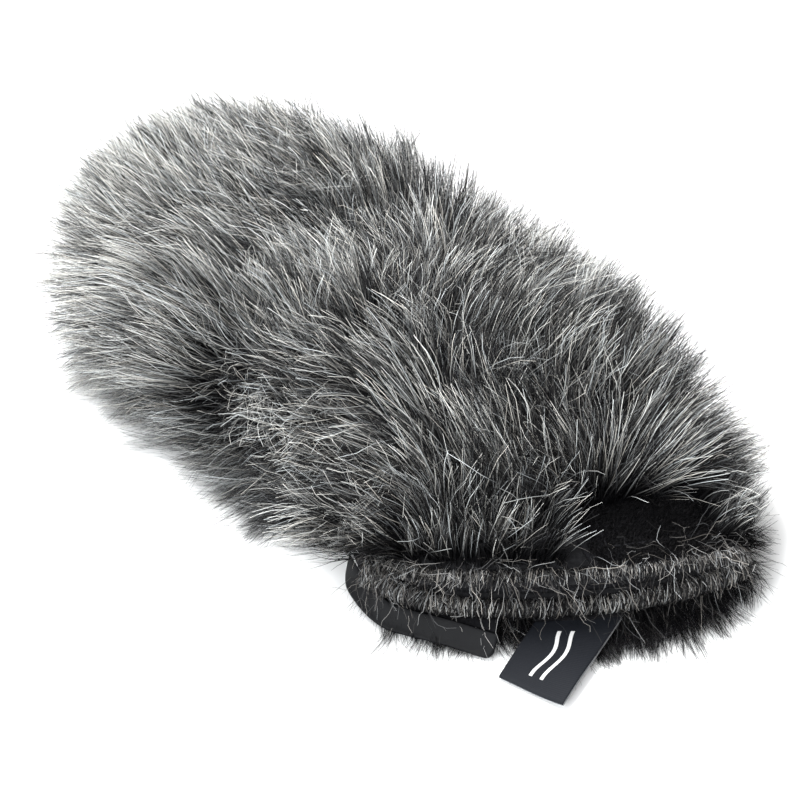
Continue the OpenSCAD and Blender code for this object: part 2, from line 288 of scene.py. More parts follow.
# two pale wavy lines woven in; places are shares of the ribbon's width and length
labelLook = {"dark": (0.003, 0.0035, 0.005), "light": (0.014, 0.016, 0.021),
             "thread": ((0.5, 0.5, 0.5), (0.8, 0.8, 0.79)),
             "reverse": ((0.36, 0.37, 0.38), (0.05, 0.05, 0.06)), "reverseFrom": 0.497,
             "specks": 60.0, "speckShare": 0.56, "twill": 420.0, "picks": 700.0,
             "lines": (0.42, 0.58), "lineHalf": 0.024, "waves": 21.0, "swell": 0.045,
             "linesAt": 0.235, "linesReach": 0.15,
             "bump": 0.5, "depth": 0.0001, "rough": 0.6, "shine": 0.12, "specular": 0.12}


def labelMaterial(look=labelLook):
    material, start = newMaterial("woven label")
    across, along = start.splitMap("ribbon")
    twill, picks = (across + along).ripple(look["twill"]), along.ripple(look["picks"])
    swell = start.maths("SINE", along * look["waves"]) * look["swell"]
    wavy = [start.maths("LESS_THAN", start.maths("ABSOLUTE", across + swell - middle),
                        look["lineHalf"]) for middle in look["lines"]]
    lines = start.maths("MAXIMUM", *wavy)
    inside = start.maths("LESS_THAN", start.maths("ABSOLUTE", along - look["linesAt"]),
                         look["linesReach"])
    weave = twill * 0.7 + picks * 0.3
    ground = weave.blend(rgb(*look["dark"]), rgb(*look["light"]))
    pale = twill.blend(*(rgb(*colour) for colour in look["thread"]))
    specks = start.noise(start.node("ShaderNodeUVMap", {"uv_map": "ribbon"}), look["specks"])
    floats = start.maths("GREATER_THAN", specks, look["speckShare"]).blend(
        *(rgb(*colour) for colour in look["reverse"]))
    face = (lines * inside).blend(ground, pale)
    reverse = start.maths("GREATER_THAN", along, look["reverseFrom"])
    finishMaterial(start, {"Base Color": reverse.blend(face, floats),
                           "Roughness": look["rough"] - twill * look["shine"],
                           "Normal": weave.bump(look["bump"], look["depth"]),
                           "Specular IOR Level": look["specular"]})
    return material


tableLook = {"size": 6.0, "dark": (0.86, 0.86, 0.86), "light": (0.88, 0.88, 0.88),
             "clouds": 3.0, "rough": 0.9}


def tableMaterial(look=tableLook):
    material, start = newMaterial("table")
    cloud = start.noise(start.objectPlace(), look["clouds"])
    finishMaterial(start, {"Base Color": cloud.blend(rgb(*look["dark"]), rgb(*look["light"])),
                           "Roughness": look["rough"]})
    return material


finishes = {
    "fur": fibreMaterial("long pile", furLook),
    "lipFibre": fibreMaterial("serged fibre", lipLook),
    "darkFur": fibreMaterial("dark pile", darkLook),
    "loops": fibreMaterial("loop pile", loopLook),
    "under": clothMaterial("pile backing", backingLook),
    "lining": clothMaterial("knitted lining", liningLook),
    "patchBase": clothMaterial("loop tape", loopTapeLook),
    "hooks": clothMaterial("hook tape", hookLook),
    "thread": threadMaterial(),
    "satin": satinMaterial(),
    "label": labelMaterial(),
}
print("finishes made")

cover = {  # millimetres and degrees; shares of the length run from the mouth (0) to the nose (1)
    "length": 181, "halfWide": 39, "mouthHalfWide": 47, "mouthReach": 0.34,
    "waistIn": 2.5, "waistAt": 0.47, "waistSpan": 0.1,
    "high": 30, "mouthHigh": 8, "highFrom": -0.05, "highAt": 0.36, "rest": 7.5,
    "bend": 23, "bendReach": 0.4, "spineSteps": 60,
    "bulge": 7, "skew": 13.8, "step": 1, "cornerBack": 5, "cornerAcross": (0.6, 1.05),
    "lipFade": 0.45,
    "squareness": 0.75, "seamShare": 0.42,
    "noseFrom": 0.69, "nosePower": 2.2, "noseFlat": 0.8, "noseEnd": 0.9995,
}


def ramp(low, high, x):
    t = np.clip((x - low) / (high - low), 0, 1)
    return t * t * (3 - 2 * t)


def heading(s):
    return np.radians(cover["bend"]) * (1 - ramp(0, cover["bendReach"], s))


middles = (np.arange(cover["spineSteps"]) + 0.5) / cover["spineSteps"]
stride = cover["length"] / cover["spineSteps"]
spineAt = np.linspace(0, 1, cover["spineSteps"] + 1)
spineX = np.concatenate([[0], np.cumsum(np.sin(heading(middles)))]) * stride
spineY = np.concatenate([[0], np.cumsum(np.cos(heading(middles)))]) * stride


def waist(s):
    return cover["waistIn"] * np.exp(-((s - cover["waistAt"]) / cover["waistSpan"]) ** 2)


def halfWide(s):
    flare = (cover["mouthHalfWide"] - cover["halfWide"]) * (1 - ramp(0, cover["mouthReach"], s))
    return cover["halfWide"] - waist(s) + flare


def clothHigh(s):
    swell = (cover["high"] - cover["mouthHigh"]) * ramp(cover["highFrom"], cover["highAt"], s)
    return cover["mouthHigh"] + swell - waist(s)


def lipOut(u, v):
    return (cover["bulge"] * (1 - u * u) + cover["skew"] * u
            + cover["step"] * np.maximum(0, -v)
            - cover["cornerBack"] * ramp(*cover["cornerAcross"], -u))


def skin(s, a, grow=0.0):
    # a point of the cloth: s along it, a round it (0 right seam, 90 top, 270 underside)
    s, a = np.broadcast_arrays(np.asarray(s, float), np.asarray(a, float))
    c, d = np.cos(np.radians(a)), np.sin(np.radians(a))
    u = np.sign(c) * np.abs(c) ** cover["squareness"]
    v = np.sign(d) * np.abs(d) ** cover["squareness"]
    tip = 1 + grow / cover["length"]
    t = np.clip((s - cover["noseFrom"]) / (tip - cover["noseFrom"]), 0, cover["noseEnd"])
    nose = (1 - t ** cover["nosePower"]) ** (1 / cover["nosePower"])
    out = lipOut(u, v) * (1 - ramp(0, cover["lipFade"], s))
    high = clothHigh(s)
    share = np.where(v > 0, 1 - cover["seamShare"], cover["seamShare"])
    lift = v * (share * high + grow)
    wide = u * (halfWide(s) + grow) * nose
    turn = heading(s)
    ahead = np.minimum(s, 0) * cover["length"]
    x = np.interp(s, spineAt, spineX) + wide * np.cos(turn) + (ahead - out) * np.sin(turn)
    y = np.interp(s, spineAt, spineY) - wide * np.sin(turn) + (ahead - out) * np.cos(turn)
    z = cover["rest"] + cover["seamShare"] * high + nose ** cover["noseFlat"] * lift
    return np.stack([x + mouth[0] / mm, y + mouth[1] / mm, np.maximum(0, z)], -1)


def unit(v):
    return v / np.maximum(np.linalg.norm(v, axis=-1, keepdims=True), 1e-9)


def makePiece(name, points, faces, material, body, uv=None, uvName=stripMap):
    # points in millimetres; faces an array of quads, or a list of loops
    mesh = bpy.data.meshes.new(name)
    points = np.asarray(points, float).reshape(-1, 3) * mm
    if isinstance(faces, np.ndarray):
        corners = faces.shape[1]
        mesh.vertices.add(len(points))
        mesh.vertices.foreach_set("co", points.astype(np.float32).ravel())
        mesh.loops.add(faces.size)
        mesh.loops.foreach_set("vertex_index", faces.astype(np.int32).ravel())
        mesh.polygons.add(len(faces))
        mesh.polygons.foreach_set("loop_start",
                                  np.arange(0, faces.size, corners, dtype=np.int32))
        mesh.update(calc_edges=True)
    else:
        mesh.from_pydata(points.tolist(), [], faces)
    if uv is not None:
        layer = mesh.uv_layers.new(name=uvName)
        layer.data.foreach_set(
            "uv", np.asarray(uv, np.float32).reshape(-1, 2)[faces.ravel()].ravel())
    mesh.polygons.foreach_set("use_smooth", np.full(len(mesh.polygons), True))
    mesh.materials.append(material)
    mesh.update()
    piece = putInScene(name, mesh)
    if body:
        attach(piece, body)
    return piece


def sheetFaces(rows, cols):
    j, i = np.meshgrid(np.arange(rows - 1), np.arange(cols - 1), indexing="ij")
    a = j * cols + i
    return np.stack([a, a + 1, a + cols + 1, a + cols], -1).reshape(-1, 4)


def closedSheet(outer, inner):
    # the points and quads of a solid between two grids of the same size
    rows, cols = outer.shape[:2]
    k = rows * cols
    rim = np.concatenate([np.arange(cols), np.arange(1, rows) * cols + cols - 1,
                          (rows - 1) * cols + np.arange(cols - 2, -1, -1),
                          np.arange(rows - 2, 0, -1) * cols])
    after = np.roll(rim, -1)
    edge = np.stack([after, rim, rim + k, after + k], -1)
    quads = sheetFaces(rows, cols)
    faces = np.concatenate([quads, (quads + k)[:, ::-1], edge])
    return np.concatenate([outer.reshape(-1, 3), inner.reshape(-1, 3)]), faces


def cellAreas(grid):
    a, b = grid[1:, :-1] - grid[:-1, :-1], grid[:-1, 1:] - grid[:-1, :-1]
    return np.linalg.norm(np.cross(a, b), axis=-1)


def sheetArea(grid):  # square metres
    return float(cellAreas(grid).sum()) * mm * mm


# the ends of the upper half's bend across the lip's fold; bendAtLip only bakes a piece's placement
# into its mesh
foldBack, foldFront = skin(0.27, 90), skin(0.12, 90)


def bendAtLip(piece):
    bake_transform(piece)


# outer and inner are how far the cloth's faces stand out; seam is the gap at the sides, in degrees
backing = {"outer": 1.8, "inner": 0.0, "along": (0.0, 0.998), "seam": 1.5,
           "rows": 70, "cols": 60}
lining = {"outer": -0.4, "inner": -1.6, "along": (0.008, 0.985), "seam": 3,
          "rows": 60, "cols": 50}


def clothPiece(name, finish, cut, underside, body):
    s0, s1 = cut["along"]
    t = np.sin(np.linspace(0, math.pi / 2, cut["rows"]))  # closer rows towards the nose
    a0 = 180 * underside
    around = np.linspace(a0 + cut["seam"], a0 + 180 - cut["seam"], cut["cols"])
    s, a = np.meshgrid(s0 + (s1 - s0) * t, around, indexing="ij")
    outer, inner = skin(s, a, cut["outer"]), skin(s, a, cut["inner"])
    points, faces = closedSheet(outer, inner)
    piece = makePiece(name, points, faces, finishes[finish], body)
    print(name, "area", round(sheetArea((outer + inner) / 2), 5))
    return piece


upperBacking = clothPiece("upper_fur_backing", "under", backing, False, None)
bendAtLip(upperBacking)
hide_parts("upper_fur_panel", "upper_lip_fur")
lowerBacking = clothPiece("lower_fur_backing", "under", backing, True, "cover")
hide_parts("lower_fur_panel")
upperKnit = clothPiece("upper_knit_lining", "lining", lining, False, None)
bendAtLip(upperKnit)
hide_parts("upper_lining", "upper_lip_lining")
lowerKnit = clothPiece("lower_knit_lining", "lining", lining, True, "cover")
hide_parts("lower_lining")


def scatter(count, sRange, aRange, density):
    # roots spread evenly over the cloth's area, or as density says
    rows, cols = 200, 160
    sEdge, aEdge = np.linspace(*sRange, rows + 1), np.linspace(*aRange, cols + 1)
    sGrid, aGrid = np.meshgrid(sEdge, aEdge, indexing="ij")
    weight = cellAreas(skin(sGrid, aGrid))
    if density:
        weight = weight * density((sGrid[1:, 1:] + sGrid[:-1, :-1]) / 2,
                                  (aGrid[1:, 1:] + aGrid[:-1, :-1]) / 2)
    cell = rng.choice(rows * cols, count, p=(weight / weight.sum()).ravel())
    s = sEdge[cell // cols] + rng.random(count) * (sEdge[1] - sEdge[0])
    a = aEdge[cell % cols] + rng.random(count) * (aEdge[1] - aEdge[0])
    return s, a


def rootFrame(s, a):  # where each fibre stands, and the way straight out of the cloth there
    step, high = 0.004, 1.0
    toNose = unit(skin(np.minimum(s + step, cover["noseEnd"]), a, high) - skin(s - step, a, high))
    around = unit(skin(s, a + 1.0, high) - skin(s, a - 1.0, high))
    return skin(s, a, high), unit(np.cross(toNose, around))


# where the pile is ruffled: x, y and radius, on the part of it that lies this high
whorls = {"at": [(-37, 8, 9), (-38, -6, 9), (-38, -18, 10), (-34, -30, 9), (-36, -40, 7),
                 (3, -48, 5)], "high": (13, 23)}


def ruffle(p):
    total = 0
    for x, y, radius in whorls["at"]:
        total = total + np.exp(-((p[:, 0] - x) ** 2 + (p[:, 1] - y) ** 2) / radius ** 2)
    return np.clip(total, 0, 1) * ramp(*whorls["high"], p[:, 2])


def drift(p, seed):  # a smooth, slowly changing push, different for each seed
    x, y, z = p[:, 0], p[:, 1], p[:, 2]
    return np.stack([np.sin(x / 9 + 1.7 * np.sin(y / 13 + seed)) * np.cos(z / 11 + seed),
                     np.sin(y / 11 + 1.4 * np.sin(x / 15 + 2 * seed)),
                     np.cos((x + y) / 12 + 3 * seed)], -1)


# where the pile lies: towards the nose at that end and on the left, swept over to the right
# by the mouth, standing up behind the upper lip, and falling over the mouth's left corner
lay = {"toNose": (-0.2, 0.98, 0.0), "toRight": (0.97, 0.1, 0.0), "sweptAlong": (0.7, 0.3),
       "sweptAcross": (-0.6, 0.55), "standAlong": (0.06, 0.26), "stand": 0.55, "lessRight": 0.7,
       "droop": 0.2, "fall": (-0.5, -0.9, -0.2), "fallAcross": (0.55, 0.95),
       "fallAlong": (0.02, 0.12), "drift": 0.32, "driftSeed": 0.6}


def lean(s, a, p, normal):
    u = np.cos(np.radians(a))
    top = np.clip(normal[:, 2], 0, 1)
    swept = (ramp(*lay["sweptAlong"], s) * ramp(*lay["sweptAcross"], u))[:, None]
    flow = (1 - swept) * np.array(lay["toNose"]) + swept * np.array(lay["toRight"])
    standing = (1 - ramp(*lay["standAlong"], s)) * top * (1 - lay["lessRight"] * np.clip(u, 0, 1))
    flow = flow * (1 - lay["stand"] * standing)[:, None]
    flow = flow - upward * (lay["droop"] * (1 - top))[:, None]
    corner = ramp(*lay["fallAcross"], -u) * (1 - ramp(*lay["fallAlong"], s))
    flow = flow + corner[:, None] * np.array(lay["fall"])
    return flow + lay["drift"] * drift(p, lay["driftSeed"])


segments = 6
strand = {"rootNoise": 0.5, "rootMess": 0.5, "tipMess": 1.1, "circle": 6.3, "waves": 1.6,
          "leastCurl": 0.4, "messCurl": 0.35, "messShort": 0.35}


def growCurves(s, a, length, settings):
    p, normal = rootFrame(s, a)
    count = len(s)
    mess = ruffle(p)[:, None] * settings["ruffle"]
    flow = settings["lean"](s, a, p, normal)
    noise = rng.normal(0, settings["stray"], (count, 3))
    wild = rng.normal(0, 1, (count, 3))
    first = unit(normal + settings["lift"] * flow + strand["rootNoise"] * noise
                 + strand["rootMess"] * mess * wild)
    last = unit(settings["out"] * normal + flow + noise + strand["tipMess"] * mess * wild)
    swing = unit(np.cross(first, rng.normal(0, 1, (count, 3))))
    circle = strand["circle"]
    phase = rng.random((count, 1)) * circle
    waves = 1 + rng.random((count, 1)) * strand["waves"]
    curl = settings["curl"] * (strand["leastCurl"] + rng.random((count, 1)))
    curl = curl + strand["messCurl"] * mess
    length = (length * (1 - strand["messShort"] * mess[:, 0]))[:, None] / segments
    points = [p]
    for k in range(segments):
        t = (k + 0.5) / segments
        way = first * (1 - t) + last * t + swing * curl * np.sin(phase + waves * circle * t) * t
        points.append(points[-1] + unit(way) * length)
    return np.stack(points, 1), normal


lockWork = {"stray": 2.0, "reach": (0.85, 1.28), "least": 0.4, "gathered": 0.93,
            "fewest": 8, "tipPower": 1.3}


def gatherLocks(points, guides, amount):
    # each fibre leans into its nearest lock, more towards the tip
    tree = kdtree.KDTree(len(guides))
    for i, root in enumerate(guides[:, 0]):
        tree.insert(root, i)
    tree.balance()
    near = np.array([tree.find(root)[1] for root in points[:, 0]])
    pull = (np.linspace(0, 1, segments + 1) ** lockWork["tipPower"])[None, :, None]
    return points + (guides[near] - points) * (pull * amount[:, None, None]), near


# how far any fibre reaches from the middle, and how high it lies on the table
loft = {"side": 69.0, "end": 131.0, "top": 62.0, "easing": 7.0, "floor": 0.35, "heap": 1.2}


def ease(value, limit):  # the same up to near the limit, and then pressed back under it
    over = np.maximum(0, value - (limit - loft["easing"]))
    return np.where(over > 0, limit - loft["easing"] * np.exp(-over / loft["easing"]), value)


def settle(points):
    # fibres that would go through the table lie along it
    heap = loft["heap"] * rng.random((len(points), 1)) * np.linspace(0.2, 1, segments + 1)
    points[..., 2] = ease(np.maximum(points[..., 2], loft["floor"] + heap), loft["top"])
    for axis, limit in ((0, loft["side"]), (1, loft["end"])):
        points[..., axis] = np.sign(points[..., axis]) * ease(np.abs(points[..., axis]), limit)
    return points


blade = {"toneSteps": 64, "margin": 0.12, "taperPower": 1.6, "tipMargin": 0.01}


def ribbons(name, points, facing, width, tone, finish, body, taper=0.25, roll=0.6):
    # one thin tapering blade for each fibre, with its tone and its height in the map
    count, rows = points.shape[:2]
    along = unit(np.gradient(points, axis=1))
    side = unit(np.cross(along, facing[:, None, :]))
    face = np.cross(side, along)
    angle = rng.normal(0, roll, (count, 1, 1))
    side = side * np.cos(angle) + face * np.sin(angle)
    t = np.linspace(0, 1, rows)[None, :, None]
    half = 0.5 * width[:, None, None] * (1 - (1 - taper) * t ** blade["taperPower"])
    verts = np.stack([points - side * half, points + side * half], 2)
    step = (np.clip(tone, 0, 0.999) * blade["toneSteps"]).astype(int)
    edges = np.stack([step + blade["margin"], step + 1 - blade["margin"]], -1)
    uv = np.empty((count, rows, 2, 2))
    uv[..., 0] = (edges / blade["toneSteps"])[:, None, :]
    uv[..., 1] = (blade["tipMargin"] + (1 - 2 * blade["tipMargin"]) * t[..., 0])[..., None]
    base = (np.arange(count) * rows * 2)[:, None] + (np.arange(rows - 1) * 2)[None, :]
    faces = np.stack([base, base + 1, base + 3, base + 2], -1).reshape(-1, 4)
    return makePiece(name, verts, faces, finishes[finish], body, uv)


# along and around say where a piece grows; density and shorten are functions of s and a
pile = {"length": 27.0, "spread": 0.17, "width": 0.18, "stray": 0.2, "lift": 0.35,
        "out": 0.4, "curl": 0.18, "lock": 0.84, "perLock": 24, "lean": lean, "ruffle": 1.0,
        "thinnest": 0.7, "thicker": 0.6, "density": None, "shorten": None, "finish": "fur",
        "toneShift": 0.0}
# tone shifts: lighter towards the nose and on the left flank, painted light where the pile is more
# brightly lit; darker where ruffled and by the mouth on the right
toning = {"lock": 0.5, "fibre": 0.74, "base": -0.36, "nose": 0.19, "noseAlong": (0.35, 0.9),
          "left": 0.12, "leftAcross": (0.3, 0.95), "ruffled": 0.12,
          "mouth": 0.08, "mouthAlong": (0.1, 0.3)}


def furPiece(name, body, settings):
    count = settings["count"]
    s, a = scatter(count, settings["along"], settings["around"], settings["density"])
    length = settings["length"] * (1 + settings["spread"] * rng.normal(0, 1, count))
    if settings["shorten"]:
        length = length * settings["shorten"](s, a)
    points, normal = growCurves(s, a, length, settings)
    locks = max(lockWork["fewest"], count // settings["perLock"])
    pick = rng.choice(count, locks, replace=False)
    loose = dict(settings, stray=settings["stray"] * lockWork["stray"])
    reach = length[pick] * rng.uniform(*lockWork["reach"], locks)
    guides, _ = growCurves(s[pick], a[pick], reach, loose)
    amount = lockWork["least"] + (1 - lockWork["least"]) * rng.random(count)
    amount = settings["lock"] * amount * (rng.random(count) < lockWork["gathered"])
    points, near = gatherLocks(points, guides, amount)
    points = settle(points)
    tone = toning["lock"] * rng.random(locks)[near] + toning["fibre"] * rng.random(count)
    left = ramp(*toning["leftAcross"], -np.cos(np.radians(a)))
    tone = tone + toning["base"] + settings["toneShift"]
    # lighter towards the nose and on the left flank: painted light
    tone = tone + toning["nose"] * ramp(*toning["noseAlong"], s)
    tone = tone + toning["left"] * left - toning["ruffled"] * ruffle(points[:, 0])
    tone = tone - toning["mouth"] * (1 - ramp(*toning["mouthAlong"], s)) * (1 - left)
    width = settings["width"] * (settings["thinnest"] + settings["thicker"] * rng.random(count))
    piece = ribbons(name, points, normal, width, tone, settings["finish"], body)
    return piece


# the loop patch's edges along and round the cover, and how it lies on the backing
patch = {"front": -0.012, "back": 0.08, "from": 87, "to": 39, "thick": 1.5, "gap": 2.5,
         "softCorner": 0.06, "thinEdge": 0.55, "grid": 40, "loops": 8000, "loopWidth": 0.14,
         "loopSize": (0.35, 0.7), "loopTurn": (-0.3, 3.6), "loopTall": 1.5,
         "bareAround": 3, "bareBack": 0.002}


def besidePatch(s, a):  # the pile is trimmed away where the loop patch is sewn on
    shift = patch["bareAround"]
    bare = (a < patch["from"] + shift) & (a > patch["to"] + shift)
    return np.where(bare & (s < patch["back"] - patch["bareBack"]), 0.0, 1.0)


trim = {"lip": 0.4, "lipAlong": (0.0, 0.12), "right": 0.22, "rightAlong": (0.1, 0.35),
        "nose": 0.2, "noseAlong": (0.75, 1.0), "tuft": 0.25, "tuftAt": 0.38, "tuftSpan": 0.08,
        "tuftAround": (175, 230)}


def shortAtLip(s, a):
    right = np.clip(np.cos(np.radians(a)), 0, 1)
    right = 1 - trim["right"] * right * (1 - ramp(*trim["rightAlong"], s))
    return (1 - trim["lip"] + trim["lip"] * ramp(*trim["lipAlong"], s)) * right


def shortAtNose(s, a):
    low, high = trim["tuftAround"]
    tufted = trim["tuft"] * np.exp(-((s - trim["tuftAt"]) / trim["tuftSpan"]) ** 2)
    return 1 - trim["nose"] * ramp(*trim["noseAlong"], s) + tufted * (a > low) * (a < high)


frontEnd = 0.33  # the front pile grows up to here
front = dict(pile, count=16500, along=(0.004, frontEnd), around=(3, 177), stray=0.15,
             curl=0.13, lock=0.74, density=besidePatch, shorten=shortAtLip)
topFront = furPiece("upper_pile_front", None, front)
bendAtLip(topFront)
rear = dict(pile, count=13000, along=(frontEnd, 0.999), shorten=shortAtNose)
furPiece("upper_pile_right", "cover", dict(rear, around=(2, 90)))
furPiece("upper_pile_left", "cover", dict(rear, around=(90, 178)))
guard = dict(pile, count=9500, along=(frontEnd, 0.995), around=(4, 176), length=29.0,
             width=0.25, stray=0.26, lock=0.5, perLock=40, shorten=shortAtNose, toneShift=0.38)
furPiece("upper_guard_hairs", "cover", guard)
frontGuard = furPiece("upper_guard_hairs_front", None,
                      dict(guard, count=4200, along=(0.01, frontEnd), density=besidePatch,
                           shorten=shortAtLip, toneShift=0.5))
bendAtLip(frontGuard)
print("upper pile grown")

flank = dict(pile, count=7000, out=0.7, lift=0.2)
furPiece("lower_pile_left", "cover",
         dict(flank, along=(0.1, 0.999), around=(181, 214), shorten=shortAtNose))
furPiece("lower_pile_right", "cover",
         dict(flank, along=(0.03, 0.999), around=(326, 359), shorten=shortAtLip))
under = dict(pile, count=6000, along=(0.06, 0.97), around=(214, 326), length=11.0, width=0.3,
             out=0.25, perLock=18, finish="darkFur")
furPiece("lower_pile_under", "cover", under)

# the pile in front of the mouth, which lies out along the table and thickens to the right
lipLay = {"ahead": 1.5, "side": (1.1, -0.1, -0.1), "sideFrom": 0.35, "drift": 0.45,
          "driftSeed": 1.9, "thin": 0.5, "thickAcross": (-0.6, -0.2), "thick": 0.9,
          "thicker": 0.5, "thickerAcross": (0.2, 0.8), "short": 0.28, "shortAcross": (0.45, 0.95)}


def lipFlow(s, a, p, normal):  # out of the mouth, along the table
    u = np.cos(np.radians(a))
    ahead = np.stack([-np.sin(heading(s)), -np.cos(heading(s)), np.zeros(len(s))], -1)
    side = np.array(lipLay["side"]) * np.clip(u - lipLay["sideFrom"], -0.2, 1)[:, None]
    return ahead * lipLay["ahead"] + side + lipLay["drift"] * drift(p, lipLay["driftSeed"])


def rightOfTab(s, a):
    u = np.cos(np.radians(a))
    more = lipLay["thick"] + lipLay["thicker"] * ramp(*lipLay["thickerAcross"], u)
    return lipLay["thin"] + ramp(*lipLay["thickAcross"], u) * more


def shortAtRight(s, a):
    return 1 - lipLay["short"] * ramp(*lipLay["shortAcross"], np.cos(np.radians(a)))


lowerLip = dict(pile, count=9000, along=(0.0, 0.1), around=(196, 350), length=22.0,
                lean=lipFlow, out=0.15, lift=0.8, curl=0.3, stray=0.25, density=rightOfTab,
                shorten=shortAtRight, finish="darkFur")
furPiece("lower_lip_pile", "cover", lowerLip)
print("lower pile grown")

# the overlocked edges: a padded core, with fibres wrapped round it from wrapFrom by wrap degrees
band = {"wide": 4.6, "high": 3.6, "gap": 0.3, "lift": 1.1, "from": 6, "core": 0.42,
        "rings": 90, "sides": 14, "fibres": 3400, "wrapFrom": (-35, 25), "wrap": (150, 35),
        "slant": (0.6, 1.9), "plump": 0.5, "tall": 0.55, "fibreWidth": (0.16, 0.14),
        "floor": 0.4}


def bandPath(a):  # its middle line, the way across it and the way along it
    at = -(band["gap"] + band["wide"] / 2) / cover["length"]
    path = skin(np.full(len(a), at), a, band["lift"])
    along = unit(np.gradient(path, axis=0) * np.array([1, 1, 0]))
    return path, np.stack([along[:, 1], -along[:, 0], np.zeros(len(a))], -1), along


def bandCore(name, a0, a1, body, node):
    rings, sides = band["rings"], band["sides"]
    path, across, _ = bandPath(np.linspace(a0, a1, rings))
    turn = np.linspace(0, 2 * math.pi, sides, endpoint=False)
    fat = (1 - 0.5 * np.abs(np.linspace(-1, 1, rings)) ** 8)[:, None, None]
    flat = (np.cos(turn) * band["wide"] * band["core"])[None, :, None]
    tall = (np.sin(turn) * band["high"] * band["core"])[None, :, None]
    points = path[:, None] + across[:, None] * flat * fat + upward * tall * fat
    index = np.arange(rings * sides).reshape(rings, sides)
    beside = np.roll(index, -1, 1)
    wall = np.stack([index[:-1], beside[:-1], beside[1:], index[1:]], -1).reshape(-1, 4)
    faces = wall.tolist() + [index[0][::-1].tolist(), index[-1].tolist()]
    core = makePiece(name + "_core", points, faces, finishes["under"], body)
    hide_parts(node)


def serging(name, a0, a1, body):
    count = band["fibres"]
    path, across, along = bandPath(np.sort(a0 + (a1 - a0) * rng.random(count)))
    start = np.radians(rng.normal(*band["wrapFrom"], count))
    wrap = np.radians(rng.normal(*band["wrap"], count))
    turn = start[:, None] + wrap[:, None] * np.linspace(0, 1, segments + 1)[None, :]
    fat = 1.0 + 0.16 * rng.normal(0, 1, (count, 1)) + 0.12 * rng.random((count, segments + 1))
    slant = rng.normal(*band["slant"], (count, 1)) * np.linspace(-0.5, 0.5, segments + 1)[None, :]
    points = (path[:, None] + along[:, None] * slant[..., None]
              + across[:, None] * (np.cos(turn) * fat * band["wide"] * band["plump"])[..., None]
              + upward * (np.sin(turn) * fat * band["high"] * band["tall"])[..., None])
    points[..., 2] = np.maximum(points[..., 2], band["floor"])
    thin, spread = band["fibreWidth"]
    piece = ribbons(name + "_serging", points, 0.7 * (across + upward),
                    thin + spread * rng.random(count), rng.random(count), "lipFibre", body,
                    taper=0.5, roll=0.5)


def lipBand(name, a0, a1, body, node):
    bandCore(name, a0, a1, body, node)
    serging(name, a0, a1, body)


lipBand("upper_lip_edge", band["from"], 180 - band["from"], "upper_lip", "upper_lip_overlock")
lipBand("lower_lip_edge", 360 - band["from"], 180 + band["from"], "cover",
        "lower_lip_overlock")

# loose hairs that wander over the lips
wander = dict(pile, count=420, along=(-0.012, 0.03), length=15.0, width=0.13, stray=0.9,
              curl=0.8, out=0.2, lift=0.6, lean=lipFlow, ruffle=0)


def strayHairs(name, aRange, body):
    count = wander["count"]
    a = rng.uniform(*aRange, count)
    s = rng.uniform(*wander["along"], count)
    length = wander["length"] * (0.5 + 0.9 * rng.random(count))
    points, normal = growCurves(s, a, length, wander)
    points = settle(points)
    piece = ribbons(name, points, normal, np.full(count, wander["width"]),
                    0.45 + 0.5 * rng.random(count), "lipFibre", body, taper=0.5)


strayHairs("upper_lip_hairs", (20, 165), "upper_lip")
strayHairs("lower_lip_hairs", (195, 345), "cover")
print("lips serged")


def patchPoint(across, back, grow):  # 0 to 1 along the lip and back from it
    a = patch["from"] + (patch["to"] - patch["from"]) * across
    s = patch["front"] + (patch["back"] - patch["front"]) * back
    return skin(s, a, grow)


def loopPatch():
    v, w = np.meshgrid(*[np.linspace(-1, 1, patch["grid"])] * 2, indexing="ij")
    soft = 1 - patch["softCorner"] * (v ** 2) * (w ** 2)
    edge = np.maximum(np.abs(v), np.abs(w)) ** 10
    low, high = patch["gap"], patch["gap"] + patch["thick"]
    across, back = 0.5 + 0.5 * w * soft, 0.5 + 0.5 * v * soft
    top = patchPoint(across, back, low + patch["thick"] * (1 - patch["thinEdge"] * edge))
    points, faces = closedSheet(top, patchPoint(across, back, low))
    base = makePiece("loop_patch_base", points, faces, finishes["patchBase"], "upper_lip")
    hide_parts("loop_patch")
    count = patch["loops"]
    v, w = rng.uniform(0.02, 0.98, count), rng.uniform(0.02, 0.98, count)
    root = patchPoint(w, v, high - 0.1)
    out = unit(patchPoint(w, v, high + 1) - root)
    side = unit(np.cross(out, rng.normal(0, 1, (count, 3))))
    least, most = patch["loopSize"]
    size = (least + (most - least) * rng.random(count))[:, None]
    turn = np.linspace(*patch["loopTurn"], segments + 1)
    points = (root[:, None] + side[:, None] * ((1 - np.cos(turn))[None, :] * size)[..., None]
              + out[:, None] * (np.sin(turn)[None, :] * size * patch["loopTall"])[..., None])
    fuzz = ribbons("loop_patch_pile", points, out, np.full(count, patch["loopWidth"]),
                   rng.random(count) ** 2, "loops", "upper_lip", taper=0.8, roll=1.2)


loopPatch()


def foldLine(name):  # a joint's place, the way along its fold, and the way out from the cover
    joint = next(j for j in frame["record"]["behaviour"]["joints"] if j["name"] == name)
    along = -np.array(joint["axis"])
    return np.array(joint["pos_m"]) / mm, along, np.array([along[1], -along[0], 0.0])


# left and right run from the fold's middle; past turnFrom the tape turns the lip's corner
tab = {"left": 27.0, "right": 18.5, "depth": 5.2, "thick": 1.1, "tuck": 0.2, "round": 2.4,
       "turnFrom": 9.0, "turn": 0.031, "forward": 0.4, "high": 5.0, "slope": 3.6,
       "slopeFrom": -0.6, "rise": 3.2, "riseOver": 17, "riseSlope": 0.6, "ripple": 0.25,
       "ripples": 5.0, "thinEdge": 0.45, "weaveOver": 7.0, "rows": 26, "cols": 90}


